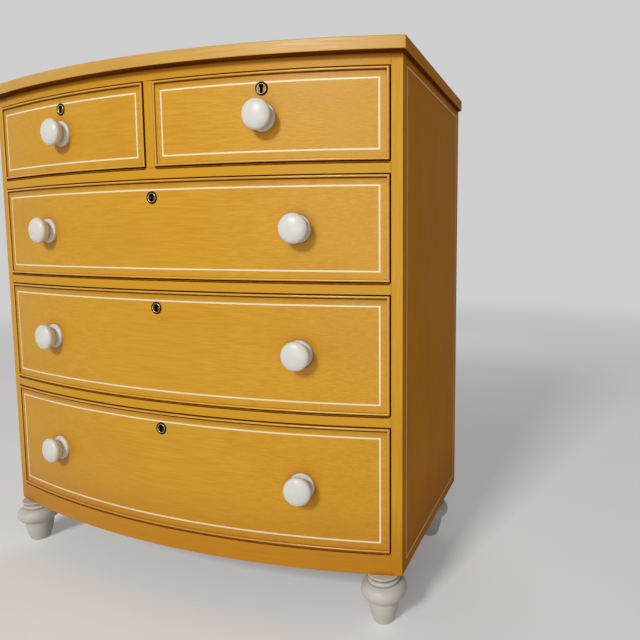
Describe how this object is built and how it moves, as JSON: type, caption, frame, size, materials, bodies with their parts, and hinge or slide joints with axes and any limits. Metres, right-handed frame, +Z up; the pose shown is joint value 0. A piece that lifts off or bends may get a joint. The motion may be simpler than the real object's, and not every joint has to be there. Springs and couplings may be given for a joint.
{
  "type": "chest of drawers",
  "caption": "Bow front chest: short drawers side by side above full-width drawers, turned knobs, round keyhole plates, plain overhanging top and turned bulb feet",
  "frame": {"origin": "on the floor, under the middle of the overall width and depth", "axes": "+X to the chest's left as it faces out (the viewer's right), +Y from the front to the back, +Z up; the drawers open towards -Y"},
  "size_m": [0.959, 0.4816, 1.0215],
  "materials": {
    "ochre_paint": "satin mustard ochre paint with fine brush lines, a brown glaze in the corners and light wear on edges",
    "cream_paint": "glossy cream paint, smooth turned",
    "bare_pine": "bare aged pine, planed, dusty brown",
    "drawer_pine": "bare pine, planed, honey coloured",
    "brass": "old brass, tarnished dark in the hollows",
    "steel": "drawn steel, slightly dull"
  },
  "bodies": {
    "carcass": {"top_board": "ochre_paint", "left_side": "ochre_paint", "right_side": "ochre_paint", "back_boards": "bare_pine", "top_rail": "ochre_paint", "upper_rail": "ochre_paint", "middle_rail": "ochre_paint", "lower_rail": "ochre_paint", "bottom_rail": "ochre_paint", "centre_divider": "ochre_paint", "centre_guide": "bare_pine", "drawer_runners": "bare_pine", "dustboards": "bare_pine", "top_kickers": "bare_pine", "drawer_stops": "bare_pine", "foot_blocks": "bare_pine", "front_left_foot": "cream_paint", "front_right_foot": "cream_paint", "rear_left_foot": "cream_paint", "rear_right_foot": "cream_paint"},
    "top_left_drawer": {"top_left_drawer_front": "ochre_paint", "top_left_drawer_box": "drawer_pine", "top_left_drawer_bottom": "drawer_pine", "top_left_drawer_cockbead": "ochre_paint", "top_left_drawer_knobs": "cream_paint", "top_left_drawer_escutcheon": "brass", "top_left_drawer_lock_case": "brass"},
    "top_right_drawer": {"top_right_drawer_front": "ochre_paint", "top_right_drawer_box": "drawer_pine", "top_right_drawer_bottom": "drawer_pine", "top_right_drawer_cockbead": "ochre_paint", "top_right_drawer_knobs": "cream_paint", "top_right_drawer_escutcheon": "brass", "top_right_drawer_lock_case": "brass"},
    "upper_drawer": {"upper_drawer_front": "ochre_paint", "upper_drawer_box": "drawer_pine", "upper_drawer_bottom": "drawer_pine", "upper_drawer_cockbead": "ochre_paint", "upper_drawer_knobs": "cream_paint", "upper_drawer_escutcheon": "brass", "upper_drawer_lock_case": "brass"},
    "middle_drawer": {"middle_drawer_front": "ochre_paint", "middle_drawer_box": "drawer_pine", "middle_drawer_bottom": "drawer_pine", "middle_drawer_cockbead": "ochre_paint", "middle_drawer_knobs": "cream_paint", "middle_drawer_escutcheon": "brass", "middle_drawer_lock_case": "brass"},
    "lower_drawer": {"lower_drawer_front": "ochre_paint", "lower_drawer_box": "drawer_pine", "lower_drawer_bottom": "drawer_pine", "lower_drawer_cockbead": "ochre_paint", "lower_drawer_knobs": "cream_paint", "lower_drawer_escutcheon": "brass", "lower_drawer_lock_case": "brass"},
    "top_left_drawer_bolt": {"top_left_drawer_lock_bolt": "steel"},
    "top_right_drawer_bolt": {"top_right_drawer_lock_bolt": "steel"},
    "upper_drawer_bolt": {"upper_drawer_lock_bolt": "steel"},
    "middle_drawer_bolt": {"middle_drawer_lock_bolt": "steel"},
    "lower_drawer_bolt": {"lower_drawer_lock_bolt": "steel"}
  },
  "joints": [
    {"name": "top_left_drawer_slide", "type": "slide", "parent": "carcass", "child": "top_left_drawer", "axis": [0, -1, 0], "range_m": [0, 0.3]},
    {"name": "top_right_drawer_slide", "type": "slide", "parent": "carcass", "child": "top_right_drawer", "axis": [0, -1, 0], "range_m": [0, 0.3]},
    {"name": "upper_drawer_slide", "type": "slide", "parent": "carcass", "child": "upper_drawer", "axis": [0, -1, 0], "range_m": [0, 0.3]},
    {"name": "middle_drawer_slide", "type": "slide", "parent": "carcass", "child": "middle_drawer", "axis": [0, -1, 0], "range_m": [0, 0.3]},
    {"name": "lower_drawer_slide", "type": "slide", "parent": "carcass", "child": "lower_drawer", "axis": [0, -1, 0], "range_m": [0, 0.3]},
    {"name": "top_left_drawer_bolt_throw", "type": "slide", "parent": "top_left_drawer", "child": "top_left_drawer_bolt", "axis": [0, 0, 1], "range_m": [0, 0.007]},
    {"name": "top_right_drawer_bolt_throw", "type": "slide", "parent": "top_right_drawer", "child": "top_right_drawer_bolt", "axis": [0, 0, 1], "range_m": [0, 0.007]},
    {"name": "upper_drawer_bolt_throw", "type": "slide", "parent": "upper_drawer", "child": "upper_drawer_bolt", "axis": [0, 0, 1], "range_m": [0, 0.007]},
    {"name": "middle_drawer_bolt_throw", "type": "slide", "parent": "middle_drawer", "child": "middle_drawer_bolt", "axis": [0, 0, 1], "range_m": [0, 0.007]},
    {"name": "lower_drawer_bolt_throw", "type": "slide", "parent": "lower_drawer", "child": "lower_drawer_bolt", "axis": [0, 0, 1], "range_m": [0, 0.007]}
  ]
}
